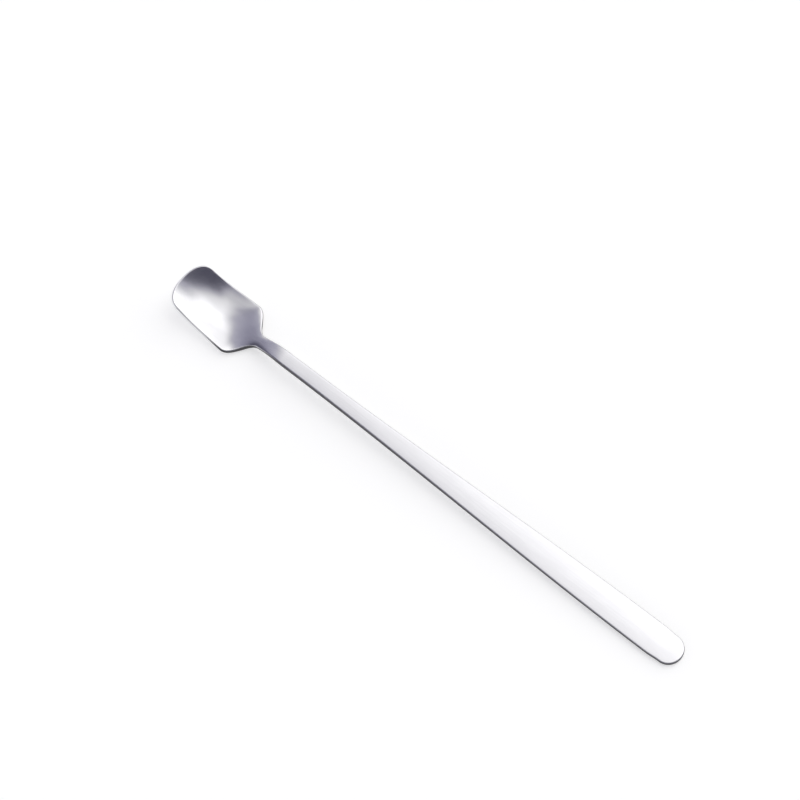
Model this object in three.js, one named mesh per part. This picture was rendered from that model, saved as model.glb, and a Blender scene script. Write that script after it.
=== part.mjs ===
// Stirring spoon in satin stainless steel: a pressed bowl with a cranked neck, butt welded to a flat handle.
// Millimetres, +Z up. The spoon lies on a table, with X from the tip of the bowl to the end of the handle.
import * as THREE from 'three';

// Bowl and neck in plan, lengths in order from the tip
const noseLength = 5.3;
const sideLength = 18.3;
const shoulderLength = 9.2;
const neckLength = 12;
const tipWidth = 16.9;
const shoulderWidth = 19.3;
const neckWidth = 4.9;
const noseSquareness = 2.2;

// Bowl in side view and across
const floorStation = 19.5;
const tipRise = 7.1;
const deepStation = 13.6;
const bowlDepth = 2.55;
const neckStraight = 2.6;
const crankFirmness = 0.46;
const shoulderRoll = 0.45;
const rollLength = 4.6;
const soleFlat = 0.18;

// Handle
const handleLength = 155.2;
const taperLength = 145;
const handleWidth = 10.7;
const endWidth = 10.1;
const endRounding = 4.8;
const weldHeight = 2.8;

// Sheet and its rounded edges
const bowlGauge = 1;
const neckGauge = 2.5;
const endGauge = 1.7;
const edgeRadius = 0.5;
const edgeShareOfGauge = 0.3;

// Facets
const noseSteps = 10;
const sideSteps = 12;
const shoulderSteps = 12;
const neckSteps = 8;
const bowlAcross = 16;
const taperSteps = 24;
const endSteps = 8;
const handleAcross = 4;
const cornerSteps = 2;
const slopeStep = 0.001;

// Stations along the bowl and the neck, from the tip
const shoulderStation = noseLength + sideLength;
const neckStation = shoulderStation + shoulderLength;
const weldStation = neckStation + neckLength;
const crankEnd = weldStation - neckStraight;
const rollStation = shoulderStation + rollLength;

// The handle slopes down from the weld until the end of its underside touches the table
const handleTilt = Math.asin(weldHeight / (handleLength - edgeRadiusOf(endGauge)));
const weldTop = weldHeight + neckGauge * Math.cos(handleTilt);
const endStation = handleLength - endRounding;

// The top of the handle slopes more than its back, because the handle thins to its end
const topTilt = handleTilt + Math.atan((neckGauge - endGauge) / handleLength);

const { lerp, smoothstep, smootherstep } = THREE.MathUtils;

// Height of the line that the top of the handle would follow if it ran on over the bowl
function handleLine(x) {
  return weldTop + (weldStation - x) * Math.tan(topTilt);
}

// Side view of the middle of the bowl: it sweeps up to the tip in front and up the cranked neck behind
function floorHeight(x) {
  const lowest = bowlGauge - soleFlat;
  if (x < floorStation) {
    return lowest + tipRise * ((floorStation - x) / floorStation) ** 2;
  }
  const soft = smoothstep(x, floorStation, crankEnd);
  const firm = smootherstep(x, floorStation, crankEnd);
  return lerp(lowest, handleLine(x), lerp(soft, firm, crankFirmness));
}

// Half of the width of the bowl and the neck in plan
function bowlHalfWidth(x) {
  const ahead = Math.min(Math.max(1 - x / noseLength, 0), 1);
  const nose = (1 - ahead ** noseSquareness) ** (1 / noseSquareness);
  const side = lerp(tipWidth, shoulderWidth, Math.min(x / shoulderStation, 1));
  return (nose * lerp(side, neckWidth, smootherstep(x, shoulderStation, neckStation))) / 2;
}

// How far the bowl stands up at a distance from its middle: it is hollow in front and level at the neck
function sideRise(x, y) {
  const hollow = bowlDepth / bowlHalfWidth(deepStation) ** 2;
  return hollow * (1 - smootherstep(x, deepStation, neckStation)) * y * y;
}

// How far the shoulders and the neck roll down to their edges: most on the shoulders, not at all at the weld
function edgeFall(x, y) {
  const fall = shoulderRoll * smootherstep(x, shoulderStation, rollStation);
  const outer = Math.min(Math.abs(y) / Math.max(bowlHalfWidth(x), edgeRadius), 1);
  return fall * (1 - smootherstep(x, rollStation, weldStation)) * outer ** 3;
}

const bowlSkin = {
  height: (x, y) => floorHeight(x) + sideRise(x, y) - edgeFall(x, y),
  gauge: (x) => lerp(bowlGauge, neckGauge, smootherstep(x, floorStation, neckStation)),
  halfWidth: bowlHalfWidth,
  across: bowlAcross,
};

// Half of the width of the handle in plan, measured from the weld
function handleHalfWidth(x) {
  const widened = lerp(neckWidth, handleWidth, smoothstep(x, 0, taperLength));
  const width = lerp(widened, endWidth, smootherstep(x, taperLength, endStation));
  const intoEnd = Math.min(Math.max((x - endStation) / endRounding, 0), 1);
  return (width * Math.sqrt(1 - intoEnd ** 2)) / 2;
}

// Thickness of the handle, measured from the weld
function handleThickness(x) {
  return lerp(neckGauge, endGauge, x / handleLength);
}

const handleSkin = {
  height: handleThickness,
  gauge: handleThickness,
  halfWidth: handleHalfWidth,
  across: handleAcross,
};

// Radius of the rounded edge of a sheet
function edgeRadiusOf(gauge) {
  return Math.min(edgeRadius, edgeShareOfGauge * gauge);
}

// Slope of a function of one value
function slope(value, at) {
  return (value(at + slopeStep) - value(at - slopeStep)) / (2 * slopeStep);
}

// Point under the top of a skin by a depth along its normal, but never under the plane that it lies on
function pointBelow(skin, x, y, depth) {
  const slopeX = slope((t) => skin.height(t, y), x);
  const slopeY = slope((t) => skin.height(x, t), y);
  const normal = new THREE.Vector3(-slopeX, -slopeY, 1).normalize();
  const point = new THREE.Vector3(x, y, skin.height(x, y)).addScaledVector(normal, -depth);
  point.z = Math.max(point.z, 0);
  return point;
}

// Point past the edge of a skin, going out along the sheet in the plan direction given
function pointPast(skin, x, y, depth, out, direction) {
  const rise = slope((t) => skin.height(x + direction.x * t, y + direction.y * t), 0);
  const outward = new THREE.Vector3(direction.x, direction.y, rise).normalize();
  return pointBelow(skin, x, y, depth).addScaledVector(outward, out);
}

// Closed ring round the sheet: the top from the near edge to the far one, round it, and back underneath
function sheetRing(skin, station) {
  const radius = edgeRadiusOf(skin.gauge(station));
  const half = skin.halfWidth(station);
  const away = new THREE.Vector2(-slope(skin.halfWidth, station), 1).normalize();
  const x = station - radius * away.x;
  const gauge = skin.gauge(x);
  const inner = half - radius * away.y;
  const near = new THREE.Vector2(away.x, -away.y);
  const ring = [];
  const corner = (step) => (Math.PI / 2) * (1 - step / cornerSteps);
  for (let i = 0; i <= skin.across; i += 1) {
    ring.push(pointBelow(skin, x, inner * ((2 * i) / skin.across - 1), 0));
  }
  for (const side of [1, -1]) {
    const direction = side > 0 ? away : near;
    const edge = [];
    for (let step = 1; step <= cornerSteps; step += 1) {
      const drop = radius * (1 - Math.sin(corner(step)));
      const out = radius * Math.cos(corner(step));
      edge.push(pointPast(skin, x, side * inner, drop, out, direction));
    }
    for (let step = cornerSteps; step >= 1; step -= 1) {
      const drop = radius * (1 - Math.sin(corner(step)));
      const out = radius * Math.cos(corner(step));
      edge.push(pointPast(skin, x, side * inner, gauge - drop, out, direction));
    }
    if (side > 0) {
      ring.push(...edge);
      for (let i = skin.across; i >= 0; i -= 1) {
        ring.push(pointBelow(skin, x, inner * ((2 * i) / skin.across - 1), gauge));
      }
    } else {
      ring.push(...edge.reverse());
    }
  }
  return ring;
}

// Middle of the rounded edge where a skin ends on its centre line, at its front (-1) or at its back (+1)
function endPoint(skin, station, way) {
  const gauge = skin.gauge(station);
  const radius = edgeRadiusOf(gauge);
  return pointPast(skin, station - way * radius, 0, gauge / 2, radius, new THREE.Vector2(way, 0));
}

// Middle of a flat ring
function ringCentre(ring) {
  const sum = ring.reduce((total, point) => total.add(point), new THREE.Vector3());
  return sum.divideScalar(ring.length);
}

// Closed body through the rings, with a fan of faces from the first and the last ring to a point
function loft(rings, firstPoint, lastPoint) {
  const size = rings[0].length;
  const last = (rings.length - 1) * size;
  const points = [...rings.flat(), firstPoint, lastPoint];
  const faces = [];
  for (let j = 0; j < size; j += 1) {
    const next = (j + 1) % size;
    for (let row = 0; row < last; row += size) {
      faces.push(row + j, row + size + j, row + size + next);
      faces.push(row + j, row + size + next, row + next);
    }
    faces.push(j, next, points.length - 2);
    faces.push(last + next, last + j, points.length - 1);
  }
  const geometry = new THREE.BufferGeometry().setFromPoints(points);
  geometry.setIndex(faces);
  geometry.computeVertexNormals();
  return geometry;
}

// Evenly spaced stations, without the first one
function stationsAfter(from, to, steps) {
  return Array.from({ length: steps }, (_, i) => lerp(from, to, (i + 1) / steps));
}

// Stations round the front of the bowl, closer together towards the tip
function noseStations() {
  const turns = stationsAfter(0, Math.PI / 2, noseSteps);
  return turns.map((turn) => noseLength * (1 - Math.cos(turn)));
}

// Stations round the end of the handle, closer together towards the end, without the end itself
function endStations() {
  const turns = stationsAfter(0, Math.PI / 2, endSteps).slice(0, -1);
  return turns.map((turn) => endStation + endRounding * Math.sin(turn));
}

// One piece of the spoon in satin steel
function steelMesh(name, geometry) {
  const steel = new THREE.MeshStandardMaterial({ color: 0xc8c9cd, roughness: 0.3, metalness: 1 });
  const mesh = new THREE.Mesh(geometry, steel);
  mesh.name = name;
  return mesh;
}

// Bowl with its shoulders and neck, from the tip to the weld
function makeBowl() {
  const stations = [
    ...noseStations(),
    ...stationsAfter(noseLength, shoulderStation, sideSteps),
    ...stationsAfter(shoulderStation, neckStation, shoulderSteps),
    ...stationsAfter(neckStation, weldStation, neckSteps),
  ];
  const rings = stations.map((station) => sheetRing(bowlSkin, station));
  return steelMesh('bowl', loft(rings, endPoint(bowlSkin, 0, -1), ringCentre(rings.at(-1))));
}

// Flat handle in its own frame, underside down, starting at the weld
function makeHandle() {
  const stations = [
    0,
    ...stationsAfter(0, taperLength, taperSteps),
    ...stationsAfter(taperLength, endStation, endSteps),
    ...endStations(),
  ];
  const rings = stations.map((station) => sheetRing(handleSkin, station));
  const end = endPoint(handleSkin, handleLength, 1);
  const handle = steelMesh('handle', loft(rings, ringCentre(rings[0]), end));
  handle.position.set(weldStation - neckGauge * Math.sin(handleTilt), 0, weldHeight);
  handle.rotation.y = handleTilt;
  return handle;
}

const spoon = new THREE.Group();
spoon.add(makeBowl(), makeHandle());

// The origin is on the table under the middle of the length
const extent = new THREE.Box3().setFromObject(spoon, true);
spoon.position.x = -(extent.min.x + extent.max.x) / 2;

export default spoon;
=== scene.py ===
"""Stirring spoon in satin stainless steel, dressed for its photograph.

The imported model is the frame: the bowl and the handle are drawn again as smooth surfaces on the same
sizes, each stands for its solid, and a plain studio and a camera at the photograph's angle go round them.
Lengths are in metres, +Z is up, and X runs from the tip of the bowl to the end of the handle.
"""

import logging
import math
from abc import ABC, abstractmethod
from dataclasses import dataclass
from enum import Enum
from typing import Mapping, Optional, Union

import bpy
import numpy as np
from mathutils import Matrix, Vector


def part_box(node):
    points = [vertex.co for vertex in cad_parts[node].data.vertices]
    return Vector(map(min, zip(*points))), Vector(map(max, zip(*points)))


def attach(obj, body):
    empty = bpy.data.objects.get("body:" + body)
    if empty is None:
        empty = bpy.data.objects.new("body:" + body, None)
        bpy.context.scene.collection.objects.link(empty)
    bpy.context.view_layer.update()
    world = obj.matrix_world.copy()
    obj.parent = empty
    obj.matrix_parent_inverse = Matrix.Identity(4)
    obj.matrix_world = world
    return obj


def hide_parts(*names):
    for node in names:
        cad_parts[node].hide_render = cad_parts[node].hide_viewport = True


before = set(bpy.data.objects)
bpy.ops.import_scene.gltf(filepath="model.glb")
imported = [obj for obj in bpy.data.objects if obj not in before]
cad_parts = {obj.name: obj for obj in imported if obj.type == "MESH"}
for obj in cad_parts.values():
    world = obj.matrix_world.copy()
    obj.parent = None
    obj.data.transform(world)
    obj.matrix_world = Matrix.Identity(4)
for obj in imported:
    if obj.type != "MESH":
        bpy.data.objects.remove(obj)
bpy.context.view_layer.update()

log = logging.getLogger("stirring_spoon")

Array = np.ndarray
Colour = tuple[float, float, float, float]
Span = tuple[float, float]
MM = 0.001
UP = Vector((0.0, 0.0, 1.0))
NOISE_MEAN = 0.5
NOISE_GAIN = 0.6


class FreeEnd(Enum):
    """Which end of a sheet is its rounded, free one. The other end is flat, for the weld."""

    FRONT = -1.0
    BACK = 1.0


def smooth_ramp(value: Array, start: float, end: float) -> Array:
    """Smoother step: t³(6t² - 15t + 10), with t going from 0 at start to 1 at end.

    Args:
        value: Where to work the step out.
        start: Value with a step of 0.
        end: Value with a step of 1.

    Returns:
        The step, from 0 to 1.
    """
    t = np.clip((value - start) / (end - start), 0.0, 1.0)
    return t**3 * (t * (6.0 * t - 15.0) + 10.0)


def soft_ramp(value: Array, start: float, end: float) -> Array:
    """Smooth step: t²(3 - 2t), with t going from 0 at start to 1 at end.

    Args:
        value: Where to work the step out.
        start: Value with a step of 0.
        end: Value with a step of 1.

    Returns:
        The step, from 0 to 1.
    """
    t = np.clip((value - start) / (end - start), 0.0, 1.0)
    return t**2 * (3.0 - 2.0 * t)


def mix(first: Array, second: Array, share: Array) -> Array:
    """First value plus a share of the way to the second."""
    return first + (second - first) * share


def unit(vectors: Array) -> Array:
    """Vectors along the last axis, each divided by its length."""
    return vectors / np.linalg.norm(vectors, axis=-1, keepdims=True)


class Value:
    """A number on a node socket. Arithmetic on it adds Math nodes."""

    def __init__(self, sheet: "NodeSheet", socket: bpy.types.NodeSocket) -> None:
        """Keeps the socket and the sheet of nodes that it is on."""
        self.sheet = sheet
        self.socket = socket

    def _math(self, operation: str, first: "Number", second: "Number") -> "Value":
        """Adds one Math node on two numbers."""
        node = self.sheet.add("ShaderNodeMath", {"operation": operation}, {0: first, 1: second})
        return Value(self.sheet, node.outputs[0])

    def __add__(self, other: "Number") -> "Value":
        """Sum."""
        return self._math("ADD", self, other)

    def __radd__(self, other: "Number") -> "Value":
        """Sum with a number on the left."""
        return self._math("ADD", other, self)

    def __sub__(self, other: "Number") -> "Value":
        """Difference."""
        return self._math("SUBTRACT", self, other)

    def __rsub__(self, other: "Number") -> "Value":
        """Difference from a number on the left."""
        return self._math("SUBTRACT", other, self)

    def __mul__(self, other: "Number") -> "Value":
        """Product."""
        return self._math("MULTIPLY", self, other)

    def __rmul__(self, other: "Number") -> "Value":
        """Product with a number on the left."""
        return self._math("MULTIPLY", other, self)

    def ramp(self, start: float, end: float) -> "Value":
        """Smooth step of this number.

        Args:
            start: Number that gives 0.
            end: Number that gives 1. It may be the smaller one.

        Returns:
            The step, from 0 to 1.
        """
        settings = {"interpolation_type": "SMOOTHSTEP"}
        inputs = {"Value": self, "From Min": start, "From Max": end}
        return Value(self.sheet, self.sheet.add("ShaderNodeMapRange", settings, inputs).outputs[0])


Number = Union[Value, float]
Input = Union[Value, bpy.types.NodeSocket, float, tuple]


class NodeSheet:
    """The nodes of one material or of the world."""

    def __init__(self, owner: Union[bpy.types.Material, bpy.types.World]) -> None:
        """Clears the owner's nodes to start from an empty sheet."""
        owner.use_nodes = True
        self.tree = owner.node_tree
        self.tree.nodes.clear()

    def add(
        self,
        kind: str,
        settings: Optional[Mapping[str, object]] = None,
        inputs: Optional[Mapping[Union[int, str], Input]] = None,
    ) -> bpy.types.Node:
        """Adds a node.

        Args:
            kind: Blender's name for the type of node.
            settings: Properties of the node, which are set first.
            inputs: Values of its sockets, or the sockets and values to link to them.

        Returns:
            The node.
        """
        node = self.tree.nodes.new(kind)
        for name, setting in (settings or {}).items():
            setattr(node, name, setting)
        for key, given in (inputs or {}).items():
            source = given.socket if isinstance(given, Value) else given
            if isinstance(source, bpy.types.NodeSocket):
                self.tree.links.new(source, node.inputs[key])
            else:
                node.inputs[key].default_value = source
        return node

    def value(self, socket: bpy.types.NodeSocket) -> Value:
        """Wraps a socket for arithmetic."""
        return Value(self, socket)

    def along(self, vector: bpy.types.NodeSocket, axis: Vector) -> Value:
        """Dot product of a vector socket and a fixed axis."""
        node = self.add("ShaderNodeVectorMath", {"operation": "DOT_PRODUCT"}, {0: vector, 1: tuple(axis)})
        return Value(self, node.outputs["Value"])

    def blend_colour(self, share: Value, first: Input, second: Input) -> bpy.types.NodeSocket:
        """Mixes two colours by a share of the second."""
        node = self.add("ShaderNodeMix", {"data_type": "RGBA"}, {0: share, 6: first, 7: second})
        return node.outputs[2]

    def noise(self, place: bpy.types.NodeSocket, size: Vector, detail: float) -> Value:
        """Noise with a grain of a given size.

        Args:
            place: Coordinates in metres.
            size: Length of the grain along X, Y and Z, in metres.
            detail: Number of finer layers, each with a fixed gain on the one before.

        Returns:
            The noise, which keeps about its mean value.
        """
        scale = tuple(1.0 / length for length in size)
        mapped = self.add("ShaderNodeMapping", None, {"Vector": place, "Scale": scale})
        inputs = {"Vector": mapped.outputs[0], "Scale": 1.0, "Detail": detail, "Roughness": NOISE_GAIN}
        return Value(self, self.add("ShaderNodeTexNoise", None, inputs).outputs[0])


@dataclass(frozen=True)
class SatinSteel:
    """Stainless steel brushed finely along its length, with cut edges duller than its faces and painted
    shade on them.
    """

    slot: str = "satin_steel"
    colour: Colour = (0.78, 0.775, 0.795, 1.0)
    # Painted shade: near-black colour for the upright cut edge, in place of the shadowed floor it reflects.
    edge_shade_colour: Colour = (0.07, 0.07, 0.073, 1.0)
    grazing_tint: Colour = (0.7, 0.7, 0.71, 1.0)
    shade_colour: Colour = (0.74, 0.735, 0.757, 1.0)
    shade_span: Span = (0.35, 0.7)
    shade_by_streaks: float = 0.6
    roughness: float = 0.24
    streak_roughness: float = 0.05
    line_share: float = 0.7
    edge_roughness: float = 0.06
    streak: Vector = Vector((34.0, 0.55, 0.55)) * MM
    brush: Vector = Vector((9.0, 0.09, 0.09)) * MM
    patch: Vector = Vector((7.0, 4.0, 4.0)) * MM
    wide_detail: float = 2.0
    fine_detail: float = 3.0
    bump_height: float = 0.004 * MM
    bump_strength: float = 0.22

    def material(self) -> bpy.types.Material:
        """Makes the steel.

        Brushing is noise drawn out along X: wide faint streaks and fine lines change the roughness, the
        fine lines also make the bump, and soft patches with the streaks shade the colour. The piece's cut
        attribute, 1 on its upright cut edge, makes that edge duller and paints shade on it: a near-black
        colour in place of the shadowed floor that the edge would reflect.

        Returns:
            The material.
        """
        made = bpy.data.materials.new(self.slot)
        sheet = NodeSheet(made)
        place = sheet.add("ShaderNodeTexCoord").outputs["Object"]
        streaks = sheet.noise(place, self.streak, self.wide_detail)
        lines = sheet.noise(place, self.brush, self.fine_detail)
        patches = sheet.noise(place, self.patch, self.wide_detail)
        # The cut attribute makes the edge duller and also says where shade is painted on it.
        edge = sheet.value(sheet.add("ShaderNodeAttribute", {"attribute_name": "cut"}).outputs["Fac"])
        grain = (streaks - NOISE_MEAN) + self.line_share * (lines - NOISE_MEAN)
        roughness = self.roughness + self.streak_roughness * grain + self.edge_roughness * edge
        mottle = self.shade_by_streaks * streaks + (1.0 - self.shade_by_streaks) * patches
        shade = mottle.ramp(*self.shade_span)
        face = sheet.blend_colour(shade, self.shade_colour, self.colour)
        bump = sheet.add(
            "ShaderNodeBump",
            None,
            {"Height": lines, "Distance": self.bump_height, "Strength": self.bump_strength},
        )
        surface = sheet.add(
            "ShaderNodeBsdfPrincipled",
            None,
            {
                # Painted shade: the colour goes to the near-black edge shade colour by the cut attribute.
                "Base Color": sheet.blend_colour(edge, face, self.edge_shade_colour),
                "Metallic": 1.0,
                "Roughness": roughness,
                "Specular Tint": self.grazing_tint,
                "Normal": bump.outputs[0],
            },
        )
        sheet.add("ShaderNodeOutputMaterial", None, {"Surface": surface.outputs[0]})
        return made


@dataclass(frozen=True)
class Plan:
    """Top of a sheet seen from above: a lattice of points, and which way is out along its edge.

    Attributes:
        x: Station of each point of the lattice, rows from the free end to the weld.
        y: Place of each point across, columns from the near side to the far one.
        out: Outward plan direction at each edge point, from the weld along the near side and back.
    """

    x: Array
    y: Array
    out: Array


@dataclass
class SheetPiece(ABC):
    """A piece of sheet steel with rounded edges, from a free end to a flat end for the weld."""

    name: str
    free_end: FreeEnd
    rows: int
    half_columns: int
    bow_length: float
    edge_radius: float = 0.5 * MM
    edge_share: float = 0.3
    corner_steps: int = 6
    # The edge's painted shade: its span round the corner, the lean at which it fades out, and how fast.
    edge_shade_span: Span = (0.1, 0.4)
    unshaded_lean: float = 0.5
    lean_power: int = 5
    sharp_angle: float = 50.0
    outline_points: int = 8001
    slope_step: float = 0.001 * MM

    @property
    @abstractmethod
    def ends(self) -> tuple[float, float]:
        """Stations of the free end and of the weld."""

    @property
    @abstractmethod
    def squareness(self) -> float:
        """Power of the curve round the free end: 2 is an ellipse, more is squarer."""

    @abstractmethod
    def half_width(self, x: Array) -> Array:
        """Half of the width in plan at a station."""

    @abstractmethod
    def height(self, x: Array, y: Array) -> Array:
        """Height of the top over a point of the plan."""

    @abstractmethod
    def gauge(self, x: Array, y: Array) -> Array:
        """Thickness of the sheet under a point of the plan."""

    @abstractmethod
    def place(self, points: Array) -> Array:
        """Moves points from the piece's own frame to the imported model's."""

    def radius(self, x: Array) -> Array:
        """Radius of the rounded edge at a station, less on thin sheet."""
        return np.minimum(self.edge_radius, self.edge_share * self.gauge(x, np.zeros_like(x)))

    def normals(self, x: Array, y: Array) -> Array:
        """Unit normals of the top, from the slopes of its height along X and Y."""
        step = self.slope_step
        slope_x = (self.height(x + step, y) - self.height(x - step, y)) / (2.0 * step)
        slope_y = (self.height(x, y + step) - self.height(x, y - step)) / (2.0 * step)
        return unit(np.stack([-slope_x, -slope_y, np.ones_like(slope_x)], axis=-1))

    def plan(self) -> Plan:
        """Lattice over the top.

        The outline is y = half width(x), with x = free end + length t^squareness so that its points stay
        evenly spaced round the free end. It moves in by the edge radius along its plan normal, and splits
        where that normal is at 45 degrees. The part round the free end, at even y, is the first row of
        the lattice, and the rest, at even arc length, is its side. A row is then x = side x + fade (first
        row x - first side x) and y = v side y, with v from -1 to 1 and the fade from 1 to 0.

        Returns:
            The lattice and the outward directions along its edge.
        """
        free, weld = self.ends
        t = np.linspace(0.0, 1.0, self.outline_points)
        x = mix(free, weld, t**self.squareness)
        y = self.half_width(x)
        tangent = np.stack([np.gradient(x, t), np.gradient(y, t)], axis=-1)
        out = self.free_end.value * unit(np.stack([tangent[:, 1], -tangent[:, 0]], axis=-1))
        inner_x = x - self.radius(x) * out[:, 0]
        inner_y = y - self.radius(x) * out[:, 1]
        split = int(np.argmax(out[:, 1] >= np.abs(out[:, 0])))

        v = np.linspace(-1.0, 1.0, 2 * self.half_columns + 1)
        first_y = np.abs(v) * inner_y[split]
        round_end = slice(0, split + 1)
        first_x, first_out_x, first_out_y = (
            np.interp(first_y, inner_y[round_end], values[round_end])
            for values in (inner_x, out[:, 0], out[:, 1])
        )
        first_out = unit(np.stack([first_out_x, np.sign(v) * first_out_y], axis=-1))

        run = np.hypot(np.diff(inner_x[split:]), np.diff(inner_y[split:]))
        arc = np.concatenate([[0.0], np.cumsum(run)])
        stops = np.linspace(0.0, arc[-1], self.rows + 1)
        side_x, side_y, side_out_x, side_out_y = (
            np.interp(stops, arc, values[split:]) for values in (inner_x, inner_y, out[:, 0], out[:, 1])
        )
        far_out = unit(np.stack([side_out_x, side_out_y], axis=-1))
        near_out = far_out * np.array([1.0, -1.0])

        fade = 1.0 - smooth_ramp(stops, 0.0, self.bow_length)
        lattice_x = side_x[:, None] + fade[:, None] * (first_x - side_x[0])
        lattice_y = side_y[:, None] * v
        return Plan(lattice_x, lattice_y, np.concatenate([near_out[::-1], first_out[1:], far_out[1:]]))

    def edge(self, top: Array, normal: Array, outward: Array, gauge: Array, radius: Array) -> Array:
        """Profile of the cut edge carried round the outline.

        A point is top - drop normal + reach outward. Round the upper corner drop = r (1 - sin a) and reach =
        r cos a with a from 90 to 0 degrees, and the lower corner mirrors it about the middle of the gauge.

        Args:
            top: Points of the outline on the top.
            normal: Unit normals of the top there.
            outward: Unit directions out along the sheet there.
            gauge: Thickness of the sheet there.
            radius: Radius of the corners there.

        Returns:
            Points, one row for each point of the outline, without the first and last of the profile.
        """
        angle = np.linspace(0.5 * np.pi, 0.0, self.corner_steps + 1)[1:]
        drop = radius[:, None] * (1.0 - np.sin(angle))
        reach = radius[:, None] * np.cos(angle)
        drops = np.concatenate([drop, (gauge[:, None] - drop)[:, ::-1]], axis=1)
        reaches = np.concatenate([reach, reach[:, ::-1]], axis=1)
        return top[:, None] - drops[..., None] * normal[:, None] + reaches[..., None] * outward[:, None]

    def build(self, steel: bpy.types.Material, slot: str) -> bpy.types.Object:
        """Makes the piece, sets it in the frame and dresses it.

        The top is the height over the lattice. The underside lies one gauge below it along the normal. The
        carried profile joins the two round the edge, and one flat face closes the weld. No point goes below
        the plane that the piece lies on.

        Args:
            steel: Material of the piece.
            slot: The record's slot for it; not used.

        Returns:
            The piece, riding on the model's body in place of its solid.
        """
        plan = self.plan()
        top = np.stack([plan.x, plan.y, self.height(plan.x, plan.y)], axis=-1)
        normal = self.normals(plan.x, plan.y)
        gauge = self.gauge(plan.x, plan.y)
        under = top - gauge[..., None] * normal

        count = plan.x.size
        grid = np.arange(count).reshape(plan.x.shape)
        outline = np.concatenate([grid[::-1, 0], grid[0, 1:], grid[1:, -1]])
        edge_top = top.reshape(-1, 3)[outline]
        edge_normal = normal.reshape(-1, 3)[outline]
        edge_gauge = gauge.ravel()[outline]
        rise = -np.sum(edge_normal[:, :2] * plan.out, axis=-1) / edge_normal[:, 2]
        outward = unit(np.column_stack([plan.out, rise]))
        edge = self.edge(edge_top, edge_normal, outward, edge_gauge, self.radius(edge_top[:, 0]))

        belt = 2 * count + np.arange(edge[..., 0].size).reshape(edge.shape[:2])
        belt = np.column_stack([outline, belt, outline + count])
        weld = np.concatenate([grid[-1], belt[-1, 1:-1], grid[-1, ::-1] + count, belt[0, -2:0:-1]])
        quads = np.concatenate([self.quads(grid), self.quads(grid + count)[:, ::-1], self.quads(belt)])
        weld = weld[::-1]
        if self.free_end is FreeEnd.BACK:
            quads = quads[:, ::-1]
            weld = weld[::-1]

        points = np.concatenate([top.reshape(-1, 3), under.reshape(-1, 3), edge.reshape(-1, 3)])
        points[:, 2] = np.maximum(points[:, 2], 0.0)
        mesh = bpy.data.meshes.new(self.name)
        mesh.from_pydata(self.place(points).tolist(), [], quads.tolist() + [weld.tolist()])
        self.mark_edge_shade(mesh, count, outward[:, 2])
        mesh.shade_smooth()
        mesh.set_sharp_from_angle(angle=math.radians(self.sharp_angle))
        mesh.materials.append(steel)
        piece = bpy.data.objects.new(f"{self.name}_dressed", mesh)
        bpy.context.scene.collection.objects.link(piece)
        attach(piece, "root")
        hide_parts(self.name)
        log.info("%s: %d points, %d faces", piece.name, len(mesh.vertices), len(mesh.polygons))
        return piece

    @staticmethod
    def quads(grid: Array) -> Array:
        """Faces of a grid of point numbers, one for each cell."""
        corners = (grid[:-1, :-1], grid[1:, :-1], grid[1:, 1:], grid[:-1, 1:])
        return np.stack(corners, axis=-1).reshape(-1, 4)

    def mark_edge_shade(self, mesh: bpy.types.Mesh, face_points: int, lean: Array) -> None:
        """Stores the cut attribute: 0 on the faces, rising round the upper corner to full on the edge below.

        It is a smooth step of 1 - sin a round the corner, times 1 - (lean / unshaded lean)^power: an upright
        edge gets painted shade and is duller, and one that leans back to face up keeps the face's colour and
        polish.

        Args:
            mesh: Mesh of the piece, whose points are the top, the underside and the edge in that order.
            face_points: Number of points on the top, and on the underside.
            lean: Upward part of the outward direction at each point of the outline.
        """
        angle = np.linspace(0.5 * np.pi, 0.0, self.corner_steps + 1)[1:]
        corner = soft_ramp(1.0 - np.sin(angle), *self.edge_shade_span)
        profile = np.concatenate([corner, np.ones(self.corner_steps)])
        # Painted shade: full on an upright edge, none on one that leans back to face up.
        dark = 1.0 - np.clip(lean / self.unshaded_lean, 0.0, 1.0) ** self.lean_power
        values = np.concatenate([np.zeros(2 * face_points), np.outer(dark, profile).ravel()])
        mesh.attributes.new("cut", "FLOAT", "POINT").data.foreach_set("value", values.astype(np.float32))


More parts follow.
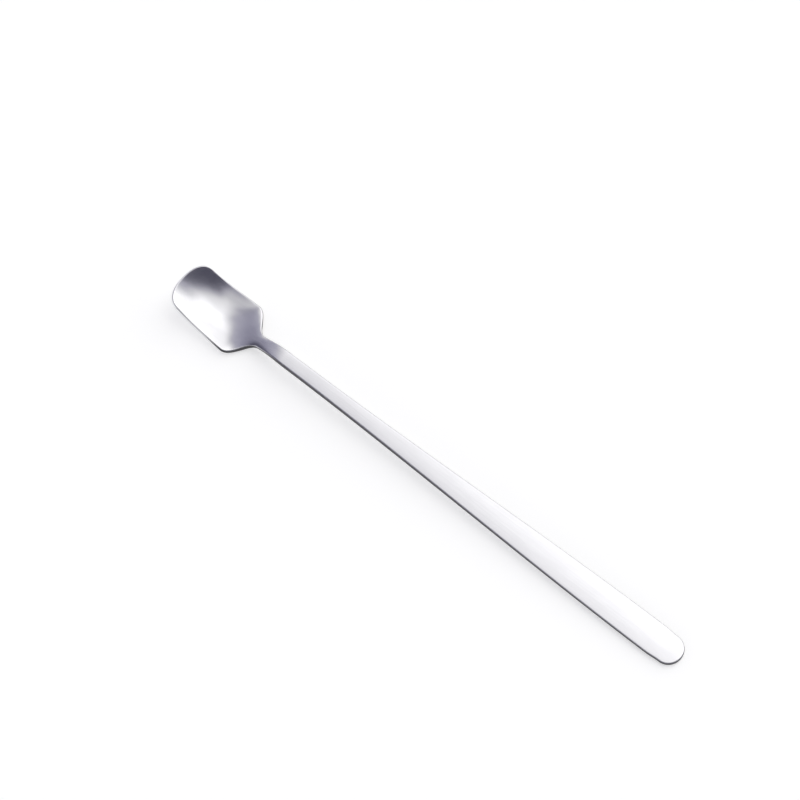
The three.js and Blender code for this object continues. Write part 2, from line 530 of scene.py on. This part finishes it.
@dataclass
class Handle(SheetPiece):
    """Flat strip that widens and thins from the weld to its rounded end, which lies on the table."""

    name: str = "handle"
    free_end: FreeEnd = FreeEnd.BACK
    rows: int = 260
    half_columns: int = 12
    bow_length: float = 9.0 * MM
    length: float = 155.2 * MM
    taper_length: float = 145.0 * MM
    neck_width: float = 4.9 * MM
    width: float = 10.7 * MM
    end_width: float = 10.1 * MM
    end_rounding: float = 4.8 * MM
    weld_height: float = 2.8 * MM
    neck_thickness: float = 2.5 * MM
    end_thickness: float = 1.7 * MM
    crown: float = 7.9

    @property
    def tilt(self) -> float:
        """Slope of the handle, which takes the end of its underside down to the table."""
        end_radius = min(self.edge_radius, self.edge_share * self.end_thickness)
        return math.asin(self.weld_height / (self.length - end_radius))

    @property
    def top_tilt(self) -> float:
        """Slope of the top, which is more than that of the back because the handle thins to its end."""
        return self.tilt + math.atan((self.neck_thickness - self.end_thickness) / self.length)

    @property
    def weld_top(self) -> float:
        """Height of the top of the handle at the weld."""
        return self.weld_height + self.neck_thickness * math.cos(self.tilt)

    @property
    def ends(self) -> tuple[float, float]:
        """Stations of the rounded end and of the weld."""
        return self.length, 0.0

    @property
    def squareness(self) -> float:
        """The end is half an ellipse."""
        return 2.0

    def half_width(self, x: Array) -> Array:
        """Half of the width: smooth steps from the neck to the widest place and on to the end's ellipse."""
        end_station = self.length - self.end_rounding
        width = mix(self.neck_width, self.width, soft_ramp(x, 0.0, self.taper_length))
        width = mix(width, self.end_width, smooth_ramp(x, self.taper_length, end_station))
        into_end = np.clip((x - end_station) / self.end_rounding, 0.0, 1.0)
        return 0.5 * width * np.sqrt(1.0 - into_end**2)

    def height(self, x: Array, y: Array) -> Array:
        """Top: thickness along x - crown y², a faint crown left by the pressing."""
        return mix(self.neck_thickness, self.end_thickness, x / self.length) - self.crown * y**2

    def gauge(self, x: Array, y: Array) -> Array:
        """Thickness over the flat back, which is the height of the top."""
        return self.height(x, y)

    def place(self, points: Array) -> Array:
        """Turns points down by the tilt and sets the top of the weld at the end of the bowl's solid."""
        cos, sin = math.cos(self.tilt), math.sin(self.tilt)
        turn = np.array([[cos, 0.0, sin], [0.0, 1.0, 0.0], [-sin, 0.0, cos]])
        weld_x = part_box("bowl")[1].x - self.neck_thickness * sin
        return points @ turn.T + np.array([weld_x, 0.0, self.weld_height])


@dataclass
class Bowl(SheetPiece):
    """Pressed scoop with a squared front, shoulders and a cranked neck that runs into the handle."""

    name: str = "bowl"
    free_end: FreeEnd = FreeEnd.FRONT
    rows: int = 200
    half_columns: int = 30
    bow_length: float = 12.0 * MM
    nose_length: float = 5.3 * MM
    side_length: float = 18.3 * MM
    shoulder_length: float = 9.2 * MM
    neck_length: float = 12.0 * MM
    tip_width: float = 16.9 * MM
    shoulder_width: float = 19.3 * MM
    nose_squareness: float = 2.2
    floor_station: float = 19.5 * MM
    tip_rise: float = 7.1 * MM
    deep_station: float = 13.6 * MM
    depth: float = 2.55 * MM
    neck_straight: float = 2.6 * MM
    crank_firmness: float = 0.46
    shoulder_roll: float = 0.45 * MM
    roll_length: float = 4.6 * MM
    sole_flat: float = 0.18 * MM
    thickness: float = 1.0 * MM
    handle: Optional[Handle] = None

    @property
    def shoulder(self) -> float:
        """Station where the shoulders begin."""
        return self.nose_length + self.side_length

    @property
    def neck(self) -> float:
        """Station where the neck begins."""
        return self.shoulder + self.shoulder_length

    @property
    def ends(self) -> tuple[float, float]:
        """Stations of the tip and of the weld."""
        return 0.0, self.neck + self.neck_length

    @property
    def squareness(self) -> float:
        """The front is a little squarer than an ellipse."""
        return self.nose_squareness

    def half_width(self, x: Array) -> Array:
        """Half of the width: a squared round nose, straight sides that spread, a smooth step to the neck."""
        ahead = np.clip(1.0 - x / self.nose_length, 0.0, 1.0)
        nose = (1.0 - ahead**self.nose_squareness) ** (1.0 / self.nose_squareness)
        side = mix(self.tip_width, self.shoulder_width, np.minimum(x / self.shoulder, 1.0))
        return 0.5 * nose * mix(side, self.handle.neck_width, smooth_ramp(x, self.shoulder, self.neck))

    def floor(self, x: Array) -> Array:
        """Side view of the middle.

        In front it is a parabola up to the tip. Behind, it climbs to the handle's line by a mix of a smooth
        and a smoother step.

        Args:
            x: Stations.

        Returns:
            Height of the top in the middle.
        """
        lowest = self.thickness - self.sole_flat
        ahead = np.clip((self.floor_station - x) / self.floor_station, 0.0, None)
        crank_end = self.ends[1] - self.neck_straight
        soft = soft_ramp(x, self.floor_station, crank_end)
        firm = smooth_ramp(x, self.floor_station, crank_end)
        line = self.handle.weld_top + (self.ends[1] - x) * math.tan(self.handle.top_tilt)
        climb = mix(lowest, line, mix(soft, firm, self.crank_firmness))
        return climb + self.tip_rise * ahead**2

    def side_rise(self, x: Array, y: Array) -> Array:
        """Rise to the sides: hollow y², even in front of the deepest station and gone at the neck."""
        hollow = self.depth / self.half_width(np.array(self.deep_station)) ** 2
        return hollow * (1.0 - smooth_ramp(x, self.deep_station, self.neck)) * y**2

    def edge_fall(self, x: Array, y: Array) -> Array:
        """Roll down to the edges: a cubic of the share of the half width, most on the shoulders."""
        peak = self.shoulder + self.roll_length
        fall = smooth_ramp(x, self.shoulder, peak) * (1.0 - smooth_ramp(x, peak, self.ends[1]))
        outer = np.abs(y) / np.maximum(self.half_width(x), self.edge_radius)
        return self.shoulder_roll * fall * np.minimum(outer, 1.0) ** 3

    def crown_fall(self, x: Array, y: Array) -> Array:
        """The handle's crown y², coming in between the shoulders and the weld."""
        return self.handle.crown * smooth_ramp(x, self.shoulder, self.ends[1]) * y**2

    def height(self, x: Array, y: Array) -> Array:
        """Top: floor + side rise - edge fall - crown."""
        return self.floor(x) + self.side_rise(x, y) - self.edge_fall(x, y) - self.crown_fall(x, y)

    def gauge(self, x: Array, y: Array) -> Array:
        """Thickness: thin in the bowl, as thick as the start of the handle at the neck, less the crown."""
        thick = smooth_ramp(x, self.floor_station, self.neck)
        return mix(self.thickness, self.handle.neck_thickness, thick) - self.crown_fall(x, y)

    def place(self, points: Array) -> Array:
        """Moves points along X until the top of the weld is at the end of the solid."""
        return points + np.array([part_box("bowl")[1].x - self.ends[1], 0.0, 0.0])


@dataclass
class PhotoCamera:
    """Camera at the photograph's angle, looking down over the near side of the bowl."""

    azimuth: float = 38.84
    elevation: float = 68.0
    distance: float = 900.0 * MM
    aim_right: float = -7.87 * MM
    aim_up: float = 21.49 * MM
    lens: float = 129.01
    sensor: float = 36.0

    @property
    def back(self) -> Vector:
        """Direction from the object to the camera."""
        a, e = math.radians(self.azimuth), math.radians(self.elevation)
        return Vector((math.sin(a) * math.cos(e), -math.cos(a) * math.cos(e), math.sin(e)))

    @property
    def right(self) -> Vector:
        """Level direction to the right in the picture."""
        return Vector((math.cos(math.radians(self.azimuth)), math.sin(math.radians(self.azimuth)), 0.0))

    @property
    def away(self) -> Vector:
        """Level direction away from the camera."""
        return UP.cross(self.right)

    def build(self) -> bpy.types.Object:
        """Makes the camera, aimed so that the spoon lies in the frame as it does in the photograph."""
        data = bpy.data.cameras.new("photo_camera")
        data.sensor_width = self.sensor
        data.lens = self.lens
        camera = bpy.data.objects.new("photo_camera", data)
        bpy.context.scene.collection.objects.link(camera)
        camera.location = self.back * self.distance
        target = self.aim_right * self.right + self.aim_up * self.back.cross(self.right)
        behind = (camera.location - target).normalized()
        over = behind.cross(self.right).normalized()
        camera.rotation_mode = "QUATERNION"
        camera.rotation_quaternion = Matrix((over.cross(behind), over, behind)).transposed().to_quaternion()
        bpy.context.scene.camera = camera
        log.info("camera: azimuth %.1f, elevation %.1f", self.azimuth, self.elevation)
        return camera


@dataclass(frozen=True)
class Panel:
    """A soft oval panel of light far from the spoon.

    Attributes:
        right: Place of its middle across the picture, as the level part of a unit direction.
        away: Place of its middle away from the camera, in the same way.
        half_right: Half of its size across.
        half_away: Half of its size away from the camera.
        core: Squared share of its size that is at full strength.
        level: Strength in the core.
    """

    right: float
    away: float
    half_right: float
    half_away: float
    core: float
    level: float

    def glow(self, across: Value, away: Value) -> Value:
        """Strength in a direction: level times a smooth step of the squared share of the oval's size.

        Args:
            across: Part of the direction across the picture.
            away: Part of the direction away from the camera.

        Returns:
            The strength.
        """
        x = (across - self.right) * (1.0 / self.half_right)
        y = (away - self.away) * (1.0 / self.half_away)
        return self.level * (x * x + y * y).ramp(1.0, self.core)


@dataclass
class Studio:
    """Plain pale floor under soft panels, most of them at the back and on the right, in a dim room.

    Heights in the sky are the upward part of a unit direction.
    """

    camera: PhotoCamera
    floor_reach: float = 6.0
    floor_level: float = -0.02 * MM
    floor_colour: Colour = (0.76, 0.76, 0.74, 1.0)
    floor_glow: float = 0.52
    back_right: Panel = Panel(0.65, 0.53, 0.85, 0.54, 0.20, 1.26)
    overhead: Panel = Panel(0.22, -0.01, 0.56, 0.45, 0.0, 1.01)
    left_front: Panel = Panel(-0.28, -0.29, 0.35, 0.30, 0.11, 0.64)
    left_back: Panel = Panel(-0.145, 0.49, 0.46, 0.73, 0.0, 0.39)
    right_front: Panel = Panel(0.69, 0.01, 0.44, 0.30, 0.0, 0.46)
    dim: float = 0.08
    wall: float = 0.5
    wall_heights: Span = (0.56, 0.36)
    wall_drop: float = 0.05
    drop_span: Span = (0.0, 0.6)
    skyline: float = 0.95
    skyline_heights: Span = (0.20, 0.05)
    bright_colour: Colour = (1.0, 1.0, 1.0, 1.0)
    dim_colour: Colour = (0.89, 0.87, 1.26, 1.0)
    colour_span: Span = (0.05, 0.85)

    def build_floor(self) -> bpy.types.Object:
        """Makes the floor, a level square just under the spoon.

        It is matt, so that it keeps the spoon's shadow, with a faint glow that only the eye, gloss and glass
        see and that lights nothing.

        Returns:
            The floor.
        """
        reach, level = self.floor_reach, self.floor_level
        sides = ((-reach, -reach), (reach, -reach), (reach, reach), (-reach, reach))
        corners = [(x, y, level) for x, y in sides]
        mesh = bpy.data.meshes.new("floor")
        mesh.from_pydata(corners, [], [(0, 1, 2, 3)])
        paint = bpy.data.materials.new("pale_floor")
        sheet = NodeSheet(paint)
        ray = sheet.add("ShaderNodeLightPath").outputs
        seen = sheet.value(ray["Is Camera Ray"]) + sheet.value(ray["Is Glossy Ray"])
        seen = seen + sheet.value(ray["Is Transmission Ray"])
        matt = sheet.add("ShaderNodeBsdfDiffuse", None, {"Color": self.floor_colour})
        glow = sheet.add("ShaderNodeEmission", None, {"Strength": self.floor_glow * seen})
        both = sheet.add("ShaderNodeAddShader", None, {0: matt.outputs[0], 1: glow.outputs[0]})
        sheet.add("ShaderNodeOutputMaterial", None, {"Surface": both.outputs[0]})
        mesh.materials.append(paint)
        floor = bpy.data.objects.new("floor", mesh)
        bpy.context.scene.collection.objects.link(floor)
        log.info("floor: %.0f m across", 2.0 * reach)
        return floor

    def build_sky(self) -> bpy.types.World:
        """Makes the light as a sky.

        It is the dim room plus the panels and a low wall, which drops a little to the back, and it fades to
        the pale skyline. Its colour goes from cool where it is dim to white where it is bright.

        Returns:
            The world.
        """
        world = bpy.data.worlds.new("studio")
        bpy.context.scene.world = world
        sheet = NodeSheet(world)
        direction = sheet.add("ShaderNodeTexCoord").outputs["Generated"]
        across = sheet.along(direction, self.camera.right)
        away = sheet.along(direction, self.camera.away)
        up = sheet.along(direction, UP)
        dropped = up + self.wall_drop * away.ramp(*self.drop_span)
        sky = self.dim + self.wall * dropped.ramp(*self.wall_heights)
        for panel in (self.back_right, self.overhead, self.left_front, self.left_back, self.right_front):
            sky = sky + panel.glow(across, away)
        level = sky + (self.skyline - sky) * up.ramp(*self.skyline_heights)
        share = level.ramp(*self.colour_span)
        colour = sheet.blend_colour(share, self.dim_colour, self.bright_colour)
        light = sheet.add("ShaderNodeBackground", None, {"Color": colour, "Strength": level})
        sheet.add("ShaderNodeOutputWorld", None, {"Surface": light.outputs[0]})
        log.info("sky: %.2f in the room, %.2f on the back right panel", self.dim, self.back_right.level)
        return world


def main() -> None:
    """Builds the camera, the studio and the two pieces of the spoon."""
    logging.basicConfig(level=logging.INFO, format="%(name)s: %(message)s")
    bpy.context.scene.view_settings.view_transform = "Standard"
    camera = PhotoCamera()
    camera.build()
    studio = Studio(camera)
    studio.build_floor()
    studio.build_sky()
    finish = SatinSteel()
    steel = finish.material()
    handle = Handle()
    handle.build(steel, finish.slot)
    Bowl(handle=handle).build(steel, finish.slot)


if __name__ == "__main__":
    main()
